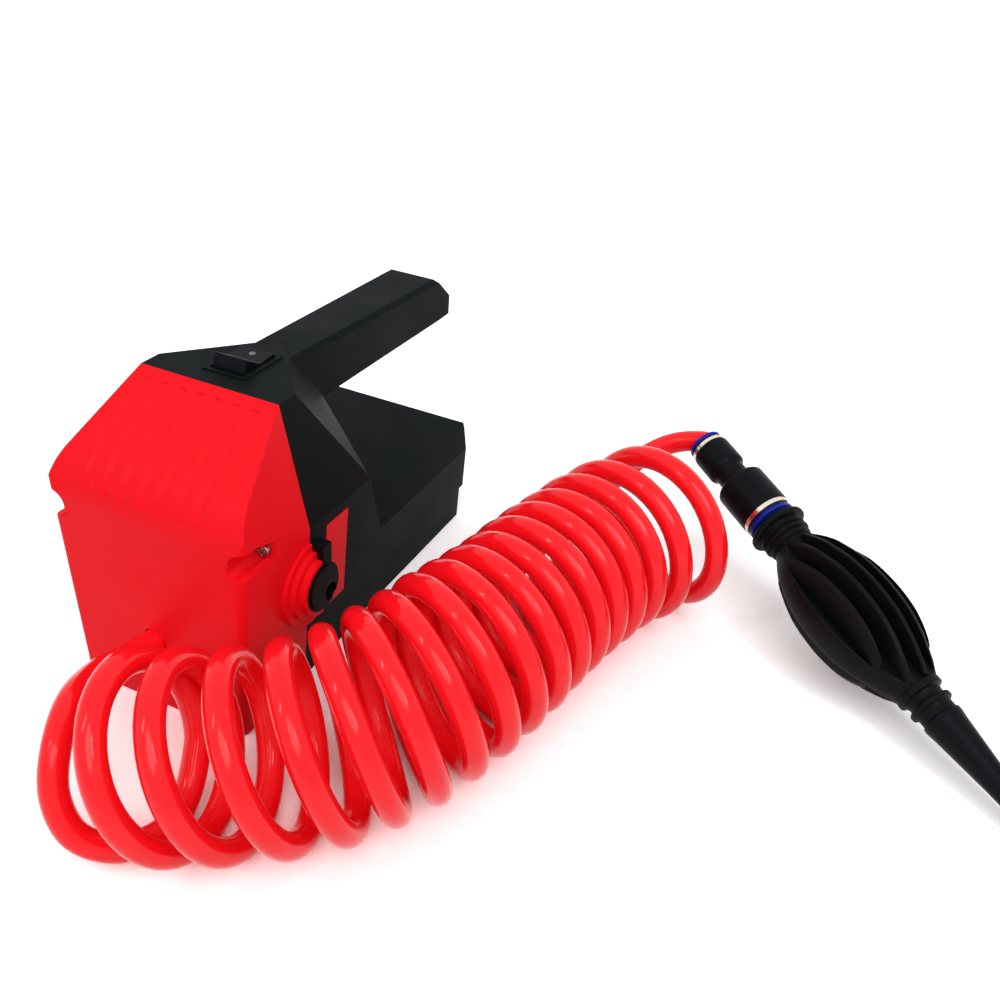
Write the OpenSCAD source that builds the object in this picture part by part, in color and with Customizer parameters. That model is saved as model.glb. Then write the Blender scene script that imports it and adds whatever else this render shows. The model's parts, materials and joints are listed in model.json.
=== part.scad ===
// Hand-held blower with a coiled air hose, a push-in union and a ribbed rubber handpiece.
// Origin on the floor at the middle of the parting line, front cover toward -Y, up is +Z.

/* [Housing] */
// Half width of the housing at its shoulders
shoulder_half = 51; // [46:0.5:56]
// Height of the shoulders
shoulder_height = 89; // [80:1:96]
// Half width of the flat top
top_half = 36.8; // [30:0.2:40]
// Height of the flat top
top_height = 148; // [140:1:156]
// Inward lean of each side toward the floor, as a slope
side_lean = 0.058; // [0:0.002:0.07]
// Wall thickness of the mouldings
wall = 3; // [2:0.5:4]
// Depth of the front cover at the floor
cover_depth = 49.2; // [42:0.2:54]
// Forward lean of the front face in degrees
front_lean = 0.1; // [0:0.1:3]
// Fall of the front slope in degrees
slope_angle = 34.2; // [30:0.2:38]
// Radius of the bend between the front face and the front slope
bend_radius = 26; // [14:1:28]
// Rounding of the upright front corners
corner_round = 4; // [3.5:0.5:8]
// Height of the rear box
box_height = 64; // [56:1:72]
// Back face of the rear box
box_back = 170; // [150:1:190]
// Height of the seam between the rear body and the base tray
seam_height = 23; // [16:1:30]
// Inset of the base tray behind the sides of the body
seam_inset = 1.7; // [0.5:0.1:3]

/* [Grooves and screws] */
// Number of grooves on the front slope
groove_count = 7; // [3:1:9]
// Distance between grooves
groove_pitch = 9.5; // [7:0.1:12]
// Radius of the groove cutter
groove_radius = 5.5; // [2.5:0.1:6]
// Depth of each groove
groove_depth = 0.8; // [0.3:0.05:1]
// Distance of each cover screw from the middle
screw_x = 46.2; // [45:0.2:47]
// Radius of the screw pocket
pocket_radius = 7; // [6:0.5:9]

/* [Handle] */
// Half width of the handle at its root
handle_half = 13.5; // [11:0.5:17]
// Back end of the handle
handle_back = 199; // [180:1:215]

/* [Side port] */
// Height of the port centre
port_z = 59.5; // [54:0.5:66]
// Radius of the raised boss on the cover
boss_radius = 14.4; // [13:0.2:18]
// Radius of the rubber bush
bush_radius = 12.3; // [10:0.1:13]
// Radius of the off-centre bore in the bush
bush_bore = 4.6; // [2:0.1:5]

/* [Blower] */
// Height of the motor axis
axis_z = 84; // [80:1:90]
// Outer radius of the volute
volute_radius = 33.5; // [30:0.5:38]
// Radius of the impeller
impeller_radius = 28.5; // [22:0.5:31]
// Number of impeller blades
blade_count = 12; // [6:1:18]
// Radius of the motor can
motor_radius = 18; // [14:0.5:20]
// Radius of the motor shaft
shaft_radius = 2.5; // [1.5:0.1:3]

/* [Rocker switch] */
// Middle of the switch along the top
switch_y = 25; // [22:0.5:28]
// Tilt of the rocker at rest
rocker_tilt = 12; // [8:1:15]

/* [Hose and handpiece] */
// Outer radius of the hose
hose_radius = 6; // [5:0.5:6]
// Inward tilt of the handpiece line below the horizontal
line_tilt = 14; // [10:1:18]
// Heading of the handpiece line about the vertical
line_heading = -35.5; // [-45:0.5:-25]
// Distance between the parallel plates of the bulb
plate_pitch = 8.7; // [8:0.1:9.2]
// Thickness of each plate
plate_thick = 2.4; // [1.6:0.2:3.4]
// Thickness of the bulb's skin at the outer slots
skin = 1.4; // [1:0.1:2.4]

/* [Hidden] */
$fn = 48;

cover_red = [0.86, 0.09, 0.11];
hose_red = [0.95, 0.10, 0.13];
shell_black = [0.13, 0.14, 0.14];
gloss_black = [0.06, 0.06, 0.07];
rubber_black = [0.07, 0.07, 0.07];
collar_blue = [0.05, 0.12, 0.55];
nickel = [0.82, 0.80, 0.74];
steel = [0.68, 0.69, 0.71];
brass = [0.78, 0.62, 0.30];
copper = [0.72, 0.42, 0.26];
foam_grey = [0.30, 0.31, 0.32];
board_green = [0.08, 0.32, 0.18];
cell_blue = [0.16, 0.34, 0.62];
pale = [0.82, 0.83, 0.82];

base_z = 0;
lug_spots = [[-33, 52], [33, 52], [-30, 113], [30, 113]];
pivot_drop = 3;
fit = 0.05;
run = 0.04;
function side_at(z) = shoulder_half - side_lean * (shoulder_height - z);
function front_at(z) = -cover_depth - z * tan(front_lean);
screw_z = shoulder_height + 4.1;
pocket_x = screw_x + 4.2;
pocket_z = screw_z + 3.4;
board_z = box_height - 14;
box_half = side_at(board_z) - 4.6;
outlet_x = -1;
outlet_z = 38.4;
outlet_face = front_at(outlet_z) + wall + 0.3;

// Centre of the bend's arc, which touches both the front face and the slope.
front_reach = cover_depth * cos(front_lean) - bend_radius;
slope_reach = top_height * cos(slope_angle) - bend_radius;
arc_share = cos(front_lean) * cos(slope_angle) + sin(front_lean) * sin(slope_angle);
arc_y = -(front_reach * cos(slope_angle) + sin(front_lean) * slope_reach) / arc_share;
arc_z = (cos(front_lean) * slope_reach - sin(slope_angle) * front_reach) / arc_share;
front_out = [-cos(front_lean), -sin(front_lean)];
slope_out = [-sin(slope_angle), cos(slope_angle)];
function bend_corner(r) = [arc_y, arc_z] + r * (front_out + slope_out) / (1 + front_out * slope_out);

// The housing's facets, each given by a point on it and the heading and rise of its normal.
top_corner = [top_half, 0, top_height];
facet_heading = 6.5;
facet_rise = atan(cos(facet_heading) * (shoulder_half - top_half) / (top_height - shoulder_height));
rear_top_point = [top_half - 0.8, 13, top_height];
rear_shoulder = [shoulder_half, 52, shoulder_height + 1];
rear_top_normal = cross(rear_shoulder - rear_top_point, [11, 43, top_height] - rear_top_point);
rear_top_heading = atan2(rear_top_normal[1], rear_top_normal[0]);
rear_top_rise = atan2(rear_top_normal[2], norm([rear_top_normal[0], rear_top_normal[1]]));
rear_wall_heading = 57.7;
rear_wall_rise = 16.5;
// The small roof above each screw pocket.
pocket_roof = [44, -48.5, shoulder_height + 12];
pocket_heading = 153.6;
pocket_rise = 55.7;

module xz_slab(pts, y0, y1) {
  translate([0, y1, 0]) rotate([90, 0, 0]) linear_extrude(y1 - y0) polygon(pts);
}

module yz_slab(pts, x0, x1) {
  translate([x0, 0, 0]) rotate([90, 0, 90]) linear_extrude(x1 - x0) polygon(pts);
}

// A block filling everything beyond the plane through p, moved inward by t.
module beyond(p, heading, rise, t = 0) {
  translate(p) rotate([0, -rise, heading]) translate([-t, -250, -250]) cube([300, 500, 500]);
}

module both() {
  children();
  mirror([1, 0, 0]) children();
}

module bar_y(x, z, r, y0, y1, n = 48) {
  translate([x, y1, z]) rotate([90, 0, 0]) cylinder(h = y1 - y0, r = r, $fn = n);
}

module bar_x(y, z, r, x0, x1, n = 48) {
  translate([x0, y, z]) rotate([0, 90, 0]) cylinder(h = x1 - x0, r = r, $fn = n);
}

module tube_y(x, z, ro, ri, y0, y1, n = 48) {
  difference() {
    bar_y(x, z, ro, y0, y1, n);
    bar_y(x, z, ri, y0 - 1, y1 + 1, n);
  }
}

// Outline of the cover from the side: floor, leaning front and slope, all moved inward by t.
module cover_side(t) {
  polygon([[t ? 1 : 0, base_z + t], [front_at(t) + t / cos(front_lean), base_z + t],
    bend_corner(bend_radius - t), [0, top_height - t / cos(slope_angle)],
    [t ? 1 : 0, top_height - t / cos(slope_angle)]]);
}

// What the bend takes off the corner between the front and the slope.
module bend_cut(t) {
  difference() {
    polygon([[arc_y, arc_z], [arc_y, arc_z] + 60 * front_out, bend_corner(60),
      [arc_y, arc_z] + 60 * slope_out]);
    translate([arc_y, arc_z]) circle(bend_radius + 0.05 - t);
  }
}

// Outer body of the front cover, shrunk by t on every side but the parting line.
module cover_solid(t = 0) {
  difference() {
    intersection() {
      translate([-80, 0, 0]) rotate([90, 0, 90]) linear_extrude(160) cover_side(t);
      xz_slab([[-side_at(0) + t, 0], [-side_at(130) + t, 130], [-side_at(130) + t, 160],
        [side_at(130) - t, 160], [side_at(130) - t, 130], [side_at(0) - t, 0]], -80, 20);
    }
    translate([-80, 0, 0]) rotate([90, 0, 90]) linear_extrude(160) bend_cut(t);
    both() translate([side_at(0), -cover_depth, 0]) rotate([front_lean, atan(side_lean), 0])
      translate([0, 0, -10]) linear_extrude(150) corner_cut(t);
    both() beyond(top_corner, facet_heading, facet_rise, t);
  }
}

// What the rounding takes off an upright front corner, with the corner at the origin.
module corner_cut(t) {
  r = corner_round;
  difference() {
    translate([-r, -9]) square([r + 9, r + 9]);
    translate([-r, r]) circle(r + 0.05 - t);
  }
}

// Grooves run down the slope and a little way round the bend, where they are a trace deeper.
module grooves() {
  reach = groove_radius - groove_depth;
  round = groove_radius - 0.2;
  foot = arc_y - bend_radius * sin(slope_angle);
  run_length = -foot / cos(slope_angle) - 5.5;
  for (i = [0 : groove_count - 1]) {
    x = (i - (groove_count - 1) / 2) * groove_pitch - 1;
    translate([x, foot, arc_z + bend_radius * cos(slope_angle)]) rotate([slope_angle, 0, 0])
      translate([0, 0, reach]) rotate([-90, 0, 0]) cylinder(h = run_length, r = groove_radius, $fn = 32);
    translate([x, arc_y, arc_z]) rotate([0, 90, 0]) rotate([0, 0, 176 + slope_angle])
      rotate_extrude(angle = 40, $fn = 96) translate([bend_radius + reach - 0.25, 0])
        circle(round, $fn = 32);
  }
}

// A scooped pocket about each cover screw, under a small sloping roof, with straight room for the head.
module screw_pocket() {
  difference() {
    bar_y(pocket_x, pocket_z, pocket_radius, -60, -26.4);
    beyond(pocket_roof, pocket_heading, pocket_rise);
  }
  bar_y(screw_x, screw_z, 3.4, -60, -26.4);
}

module front_cover() {
  color(cover_red) difference() {
    union() {
      difference() {
        cover_solid();
        cover_solid(wall);
      }
      intersection() {
        cover_solid(0.5);
        union() {
          both() bar_y(pocket_x, pocket_z, pocket_radius + 2, -52, -23.5);
          both() bar_y(screw_x, screw_z, 5, -24, 0);
          for (p = lug_spots) bar_y(p[0], p[1], 4, -52, -31);
        }
      }
      bar_x_half(boss_radius, 47, 57.3);
      bar_x_half(boss_radius + 3.6, 47, 54.3);
      bar_x_half(boss_radius + 7.4, 47, 51.9);
    }
    grooves();
    both() screw_pocket();
    both() bar_y(screw_x, screw_z, 1.75, -40, 1, 32);
    for (p = lug_spots) bar_y(p[0], p[1], 1.3, -39, -30, 24);
    bar_x(0, port_z, bush_radius + fit, 40, 60);
    bar_y(outlet_x, outlet_z, hose_radius + 0.35, -60, -30);
    for (x = [-30, 30]) translate([x, -22, -1]) cylinder(h = 2.8, r = 7 + fit);
  }
}

// Front half of a round step about the side port.
module bar_x_half(r, x0, x1) {
  intersection() {
    bar_x(0, port_z, r, x0, x1);
    translate([0, -40, 0]) cube([80, 40, 120]);
  }
}

// Solid of the rear block under the flat top, shrunk by t.
module block_solid(t = 0) {
  difference() {
    xz_slab([[-side_at(t) + t, base_z + t], [-side_at(shoulder_height) + t, shoulder_height],
      [-top_half + t * 0.78, top_height - t], [top_half - t * 0.78, top_height - t],
      [side_at(shoulder_height) - t, shoulder_height], [side_at(t) - t, base_z + t]], t ? -1 : 0, 110);
    both() beyond(rear_top_point, rear_top_heading, rear_top_rise, t);
    both() beyond(rear_shoulder, rear_wall_heading, rear_wall_rise, t);
  }
}

// Solid of the low rear box, shrunk by t.
module box_solid(t = 0) {
  difference() {
    xz_slab([[-side_at(t) + t, base_z + t], [-side_at(board_z) + t, board_z - t * 0.4],
      [-box_half + t, box_height - t], [box_half - t, box_height - t],
      [side_at(board_z) - t, board_z - t * 0.4], [side_at(t) - t, base_z + t]],
      t ? 8 : 45, box_back - t);
    both() beyond([side_at(20) - 2, box_back, 20], 45, 0, t);
  }
}

module handle_solid(t = 0) {
  difference() {
    intersection() {
      translate([0, 0, top_height]) yz_slab([[30, -2 - t], [44, -2 - t], [183 - t, -6.5 - t],
        [handle_back - t, -20.5 - t * 0.4], [handle_back - t, -33 + t], [195 - t, -36.5 + t],
        [30, -35.5 + t]], -30, 30);
      translate([0, 0, 90]) linear_extrude(80)
        polygon([[-handle_half + t, 30], [-handle_half - 3 + t, 200], [handle_half + 3 - t, 200],
          [handle_half - t, 30]]);
    }
    both() beyond([11.4, 44, top_height - 2], 0.9, 45, t);
    both() beyond([9.4, 44, top_height - 35.5], -1.3, -45, t);
  }
}

module tray_cut(t, x) {
  rr = 8 - t;
  translate([-x, 0, 0]) rotate([90, 0, 90]) linear_extrude(2 * x) union() {
    translate([57 + 8, -2]) square([150, seam_height - t + 2]);
    translate([57 + t, -2]) square([40, seam_height - 8 + 2]);
    translate([57 + 8, seam_height - 8]) circle(rr);
  }
}

module rear_body() {
  color(shell_black) difference() {
    union() {
      block_solid();
      box_solid();
      handle_solid();
    }
    difference() {
      union() {
        block_solid(wall);
        box_solid(wall);
        translate([-9, 40, top_height - 31]) cube([18, 140, 20]);
      }
      both() bar_y(screw_x - 1, screw_z, 7, 0, 16);
      translate([-14.5, switch_y - 17.5, top_height - 16]) cube([29, 35, 20]);
    }
    tray_cut(0, 60);
    translate([-10.15, switch_y - 13.65, top_height - 20]) cube([20.3, 27.3, 30]);
    both() bar_y(screw_x, screw_z, 1.75, -1, 13, 32);
    both() bar_y(screw_x, screw_z, 3.25, 10, 18, 6);
    bar_x(0, port_z, bush_radius + fit, 40, 60);
    for (i = [0 : 4]) translate([-60, 16.5 + i * 5.4, 53.5]) cube([20, 2.6, 23.5]);
    label_plate(0.2, 0.15);
  }
}

// Blank plate let into the right-hand side, grown by g at its edges.
module label_plate(g, deep) {
  tilt = atan(side_lean);
  translate([side_at(33), 0, 33]) rotate([0, tilt, 0]) translate([-0.6 - deep, 14 - g, -g])
    cube([2, 18.5 + 2 * g, 50 + 2 * g]);
}

module side_label() {
  tilt = atan(side_lean);
  color(cover_red) translate([side_at(33), 0, 33]) rotate([0, tilt, 0]) translate([-0.75, 14, 0])
    cube([0.95, 18.5, 50]);
}

module base_tray() {
  tray_half = side_at(0) - seam_inset - 2.4;
  color(shell_black) difference() {
    intersection() {
      tray_cut(0, 60);
      xz_slab([[-side_at(0) + seam_inset, base_z], [-side_at(40) + seam_inset, 40],
        [side_at(40) - seam_inset, 40], [side_at(0) - seam_inset, base_z]], 40, box_back - 1.2);
    }
    both() beyond([side_at(20) - 2, box_back, 20], 45, 0, 1.6);
    translate([-tray_half, 61, 3]) cube([2 * tray_half, 104.5, 40]);
    for (x = [-30, 30]) translate([x, 148, -1]) cylinder(h = 2.8, r = 7 + fit);
  }
}

module feet() {
  color(rubber_black) for (x = [-30, 30], y = [-22, 148]) translate([x, y, 0]) cylinder(h = 1.8, r = 7);
}

module cover_screws() {
  color(steel) both() difference() {
    union() {
      bar_y(screw_x, screw_z, 3.2, -29.4, -26.4, 32);
      bar_y(screw_x, screw_z, 1.6, -26.4, 13.5, 24);
    }
    translate([screw_x - 2.1, -30, screw_z - 0.45]) cube([4.2, 2, 0.9]);
    translate([screw_x - 0.45, -30, screw_z - 2.1]) cube([0.9, 2, 4.2]);
  }
}

module cover_nuts() {
  color(steel) both() difference() {
    bar_y(screw_x, screw_z, 3.2, 10, 13, 6);
    bar_y(screw_x, screw_z, 1.64, 9, 14, 24);
  }
}

module port_bush() {
  color(rubber_black) difference() {
    union() {
      bar_x(0, port_z, bush_radius, 44, 57.8);
      bar_x(0, port_z, bush_radius - 1.2, 57.8, 58.8);
      translate([50.9, 0.1, port_z + 10]) cube([6.9, 6.8, 11.5]);
    }
    bar_x(4.4, port_z - 5, bush_bore, 40, 62, 32);
  }
}

module switch_bezel() {
  color(shell_black) difference() {
    translate([-11.6, switch_y - 14.8, top_height]) cube([23.2, 29.6, 0.8]);
    translate([-9, switch_y - 12.4, top_height - 1]) cube([18, 24.8, 4]);
  }
}

module switch_body() {
  color(gloss_black) difference() {
    translate([-10.1, switch_y - 13.6, top_height - 24]) cube([20.2, 27.2, 24]);
    translate([-9, switch_y - 12.4, top_height - 13]) cube([18, 24.8, 20]);
    bar_x(switch_y, top_height - pivot_drop, 1.54, -9.9, 9.9, 24);
  }
}

module switch_terminals() {
  color(brass) for (y = [-7, 7]) translate([-2.4, switch_y + y - 0.4, top_height - 33])
    cube([4.8, 0.8, 9]);
}

module rocker_place() {
  translate([0, switch_y, top_height - pivot_drop]) rotate([-rocker_tilt, 0, 0]) children();
}

module rocker() {
  color(gloss_black) rocker_place() difference() {
    union() {
      yz_slab([[-10.8, 7.1], [-10, 7.7], [-0.6, 4.7], [0.6, 4.7], [10, 7.7], [10.8, 7.1], [11, 0],
        [6, -6], [-6, -6], [-11, 0]], -8.7, 8.7);
      bar_x(0, 0, 1.5, -9.7, 9.7, 24);
    }
    translate([0, 6, 5.6]) rotate([17.7, 0, 0]) cylinder(h = 4, r = 1.6, $fn = 32);
  }
}

module rocker_mark() {
  color(pale) rocker_place() translate([0, 6, 5.6]) rotate([17.7, 0, 0])
    cylinder(h = 0.85, r = 1.55, $fn = 32);
}

// Blower: volute, motor and impeller on one axis along Y.
module volute_housing() {
  color(shell_black) difference() {
    union() {
      bar_y(0, axis_z, volute_radius, -36, -12);
      translate([outlet_x - 12, -36, outlet_z - 12.4]) cube([24, 24, axis_z - outlet_z - 4.6]);
      for (p = lug_spots) bar_y(p[0], p[1], 4.5, -31, -28, 32);
      for (p = lug_spots) lug_web(p);
    }
    bar_y(0, axis_z, volute_radius - 2.5, -33.5, -10);
    translate([outlet_x - 9.5, -33.5, outlet_z - 9.9]) cube([19, 25, axis_z - outlet_z - 9.1]);
    bar_y(0, axis_z, 15, -40, -30);
    bar_y(outlet_x, outlet_z, 9.05, -40, -31);
    for (p = lug_spots) bar_y(p[0], p[1], 1.7, -40, -20, 24);
  }
}

// A straight web from the drum out to one screw lug.
module lug_web(p) {
  d = [p[0], p[1] - axis_z];
  translate([0, -28.3, axis_z]) rotate([90, 0, 0]) rotate([0, 0, atan2(d[1], d[0])]) translate([20, -3.5, 0])
    cube([norm(d) - 22, 7, 2.4]);
}

module volute_back() {
  color(shell_black) difference() {
    union() {
      bar_y(0, axis_z, volute_radius, -12, -10);
      translate([outlet_x - 12, -12, outlet_z - 12.4]) cube([24, 2, axis_z - outlet_z - 4.6]);
    }
    bar_y(0, axis_z, 8.1, -20, 0);
    for (x = [-12.5, 12.5]) bar_y(x, axis_z, 1.55, -20, 0, 24);
  }
}

module volute_screws() {
  color(steel) for (p = lug_spots) union() {
    bar_y(p[0], p[1], 2.8, -28, -26.2, 24);
    bar_y(p[0], p[1], 1.2, -38, -28, 24);
  }
}

module motor_can() {
  color(steel) difference() {
    union() {
      bar_y(0, axis_z, motor_radius, -10, 50, 64);
      bar_y(0, axis_z, 8, -12, -10);
    }
    bar_y(0, axis_z, motor_radius - 1.2, -8.8, 51, 64);
    bar_y(0, axis_z, 5, -13, 0);
    for (x = [-12.5, 12.5]) bar_y(x, axis_z, 1.2, -11, 0, 24);
  }
}

module motor_magnets() {
  color(foam_grey) for (s = [-1, 1]) difference() {
    tube_y(0, axis_z, motor_radius - 1.23, 14.6, -2, 40, 64);
    translate([-25, -10, s > 0 ? axis_z - 30 : axis_z - 8]) cube([50, 60, 38]);
  }
}

module motor_end_bell() {
  color(gloss_black) difference() {
    union() {
      bar_y(0, axis_z, motor_radius, 50, 56, 64);
      bar_y(0, axis_z, motor_radius - 1.25, 46, 50, 64);
      bar_y(0, axis_z, 7, 56, 59);
    }
    bar_y(0, axis_z, 14.5, 44, 53);
    bar_y(0, axis_z, 5, 44, 60);
  }
}

module motor_bushes() {
  color(brass) union() {
    tube_y(0, axis_z, 4.98, shaft_radius + run, -12, -7.4);
    tube_y(0, axis_z, 4.98, shaft_radius + run, 54, 59);
  }
}

module motor_brushes() {
  color(copper) for (s = [-1, 1]) translate([s * 10.2 - 4.05, 47, axis_z - 2]) cube([8.1, 6, 4]);
}

module motor_screws() {
  color(steel) for (x = [-12.5, 12.5]) union() {
    bar_y(x, axis_z, 2.5, -13.6, -12, 24);
    bar_y(x, axis_z, 1.15, -12, -7.6, 24);
  }
}

module motor_shaft() {
  color(steel) bar_y(0, axis_z, shaft_radius, -31, 61, 40);
}

module motor_armature() {
  color(copper) difference() {
    bar_y(0, axis_z, 14, 2, 38);
    bar_y(0, axis_z, shaft_radius + 0.01, 0, 40, 40);
    for (i = [0 : 4]) translate([0, 0, axis_z]) rotate([0, i * 72, 0]) translate([-1.2, 0, 11])
      cube([2.4, 50, 6]);
  }
}

module commutator() {
  color(brass) tube_y(0, axis_z, 6, shaft_radius + 0.01, 42, 51.5);
}

module impeller() {
  color(pale) difference() {
    union() {
      bar_y(0, axis_z, 7, -31, -15.5);
      bar_y(0, axis_z, impeller_radius, -17.2, -15.5);
      for (i = [0 : blade_count - 1]) translate([0, 0, axis_z]) rotate([0, i * 360 / blade_count, 0])
        translate([-0.8, -29.5, 6]) cube([1.6, 12.4, impeller_radius - 6.6]);
    }
    bar_y(0, axis_z, shaft_radius + 0.01, -40, 0, 40);
  }
}

module outlet_nipple() {
  color(brass) difference() {
    union() {
      bar_y(outlet_x, outlet_z, 9, outlet_face, -32);
      bar_y(outlet_x, outlet_z, 10.6, -43.9, -36);
    }
    bar_y(outlet_x, outlet_z, hose_radius + 0.15, -50, -36);
    bar_y(outlet_x, outlet_z, 4.2, -40, -20);
  }
}

module outlet_seal() {
  color(rubber_black) tube_y(outlet_x, outlet_z, 10.4, 9.03, outlet_face, -43.9);
}

// Intake: a foam pad held in a frame behind the slots on the left-hand side.
module on_left_wall() {
  translate([-side_at(48) + wall, 0, 48]) rotate([0, -atan(side_lean), 0]) children();
}

module filter_frame() {
  color(shell_black) on_left_wall() difference() {
    translate([0, 10, 0]) cube([8, 38, 34]);
    translate([-1, 12.5, 2.5]) cube([6.5, 33, 29]);
    translate([-1, 15, 5]) cube([12, 28, 24]);
  }
}

module intake_filter() {
  color(foam_grey) on_left_wall() translate([0.2, 12.7, 2.7]) cube([5.3, 32.6, 28.6]);
}

module battery_cells() {
  color(cell_blue) for (i = [0 : 4], j = [0 : 1]) bar_x(71 + i * 19.2, 13.4 + j * 19.2, 9.1, -32.5, 32.5, 32);
}

module cell_holders() {
  color(gloss_black) for (s = [-1, 1]) difference() {
    translate([s * 25 - 2.5, 61.3, 3]) cube([5, 96, 39.9]);
    for (i = [0 : 4], j = [0 : 1]) bar_x(71 + i * 19.2, 13.4 + j * 19.2, 9.15, -40, 40, 32);
  }
}

module cell_straps() {
  color(nickel) for (s = [-1, 1], i = [0 : 4]) translate([s * 32.65 - 0.15, 68 + i * 19.2, 9])
    cube([0.3, 6, 28]);
}

module control_board() {
  color(board_green) difference() {
    translate([-28, 84, board_z]) cube([56, 66, 1.6]);
    for (x = [-25, 25], y = [88, 146]) translate([x, y, board_z - 2]) cylinder(h = 6, r = 1.4, $fn = 24);
  }
}

module board_posts() {
  color(steel) for (x = [-25, 25], y = [88, 146]) translate([x, y, 42.9]) union() {
    cylinder(h = board_z - 42.9, r = 2.3, $fn = 24);
    cylinder(h = board_z - 39.8, r = 1.36, $fn = 24);
    translate([0, 0, board_z - 41.3]) cylinder(h = 1.6, r = 2.4, $fn = 24);
  }
}

module capacitors() {
  color(gloss_black) for (p = [[-14, 98, 5], [2, 98, 5], [15, 100, 4]]) translate([p[0], p[1], board_z + 1.6])
    cylinder(h = 8.4, r = p[2], $fn = 32);
}

module heat_sink() {
  color(steel) union() {
    translate([-16, 118, board_z + 1.6]) cube([32, 22, 1.6]);
    for (i = [0 : 5]) translate([-16 + i * 6.08, 118, board_z + 3.2]) cube([1.6, 22, 6]);
  }
}

module wire(marks, r) {
  route = spline(concat([marks[0]], marks, [marks[len(marks) - 1]]), 5);
  swept_tube(concat(route, [marks[len(marks) - 1]]), r, 8);
}

module power_wires() {
  base = board_z + 1.6;
  end = top_height - 33;
  color(hose_red) wire([[8, 88, base], [8, 88, base + 1.5], [8, 88, base + 3], [8, 86, base + 6], [8, 76, 62],
    [8, 66, 74], [8, 66, 96], [6, 50, end - 7], [2.5, 37, end - 9], [0, 32, end - 5], [0, 32, end - 1.5],
    [0, 32, end]], 1.3);
  color(gloss_black) wire([[-8, 88, base], [-8, 88, base + 1.5], [-8, 88, base + 3], [-8, 86, base + 6],
    [-8, 78, 62], [-9, 68, 70], [-10.2, 63, 81], [-10.2, 60, axis_z],
    [-10.2, 57.5, axis_z], [-10.2, 56, axis_z]], 1.3);
}

// Hose route: hand-placed points from the outlet, then the coil by formula, then the run to the union.
function catmull(a, b, c, d, f) = 0.5 * (2 * b + (c - a) * f + (2 * a - 5 * b + 4 * c - d) * f * f
  + (3 * b - a - 3 * c + d) * f * f * f);
function spline(p, n) = [for (i = [1 : len(p) - 3], k = [0 : n - 1])
  catmull(p[i - 1], p[i], p[i + 1], p[i + 2], k / n)];
line_dir = [cos(line_heading) * cos(line_tilt), sin(line_heading) * cos(line_tilt), -sin(line_tilt)];
line_start = [180.5, 207.5, 72];
axis_marks = [[-18, -122], [29, -113], [63, -99], [98, -73], [117.5, -41.5], [128, -7.5], [135, 26],
  [140, 59],
  [147, 91], [159, 126], [187, 163.5], [217, 196]];
marks_every = 2;
turn_rings = 24;
hose_sides = 6;
function axis_xy(u) = let (i = min(max(floor(u / marks_every), 0), len(axis_marks) - 4),
    f = u / marks_every - i)
  catmull(axis_marks[i], axis_marks[i + 1], axis_marks[i + 2], axis_marks[i + 3], f);
function turn_heading(u) = 2 + 68 * sin(90 * u / 13);
turn_radii = [[0, 35.8], [3, 37], [6, 39.8], [8, 40.3], [11, 38.4], [14, 38.6], [18, 41]];
function turn_radius(u) = lookup(u, turn_radii);
function turn_lean(u) = min(0.02, -0.42 + 0.034 * u);
function turn_lift(u) = 3 * pow(max(0, u - 16.2), 2);
function coil_point(u) = let (h = turn_heading(u), r = turn_radius(u), c = axis_xy(u),
    s = r * sin(360 * u), k = r * cos(360 * u), lean = turn_lean(u))
  [c[0] + s * sin(h) + k * lean * cos(h), c[1] - s * cos(h) + k * lean * sin(h),
    r + hose_radius + 0.1 + k + turn_lift(u)];
coil_first = 16;
coil_last = 423;
coil_route = [for (i = [coil_first : coil_last]) coil_point(i / turn_rings)];
outlet_end = [outlet_x, -36, outlet_z];
lead_marks = [[-3, -64, 39], [-3, -84, 44], [6, -106, 51], [16, -125, 47], [22, -135, 32], [32, -137, 17],
  [45, -128, 8], [53, -111, 6.3], [50, -93, 9]];
tail_marks = [[133, 182, 38], [139, 193.5, 49.5], [150, 203, 60.5], [162.5, 209, 68],
  line_start - 4 * line_dir];
lead_route = concat([outlet_end], spline(concat([outlet_end, outlet_end - [0, 16, 0]], lead_marks,
  [coil_route[0], coil_route[1]]), 4));
tail_route = concat(spline(concat([coil_route[len(coil_route) - 2], coil_route[len(coil_route) - 1]],
  tail_marks, [line_start, line_start + 16 * line_dir]), 4), [line_start, line_start + 18.9 * line_dir]);
hose_route = concat(lead_route, coil_route, [for (i = [1 : len(tail_route) - 1]) tail_route[i]]);

function unit(v) = v / norm(v);
function frames(p, i = 0, prev = [1, 0, 0], acc = []) = i >= len(p) ? acc :
  let (t = unit(p[min(i + 1, len(p) - 1)] - p[max(i - 1, 0)]), x = unit(prev - (prev * t) * t),
    y = cross(t, x))
  frames(p, i + 1, x, concat(acc, [[x, y]]));

module swept_tube(p, r, n) {
  fr = frames(p);
  pts = [for (i = [0 : len(p) - 1], k = [0 : n - 1])
    p[i] + r * cos(360 * k / n) * fr[i][0] + r * sin(360 * k / n) * fr[i][1]];
  sides = [for (i = [0 : len(p) - 2], k = [0 : n - 1]) each [
    [i * n + k, (i + 1) * n + k, i * n + (k + 1) % n],
    [i * n + (k + 1) % n, (i + 1) * n + k, (i + 1) * n + (k + 1) % n]]];
  caps = [[for (k = [0 : n - 1]) k], [for (k = [n - 1 : -1 : 0]) (len(p) - 1) * n + k]];
  polyhedron(points = pts, faces = concat(sides, caps), convexity = 12);
}

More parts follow.
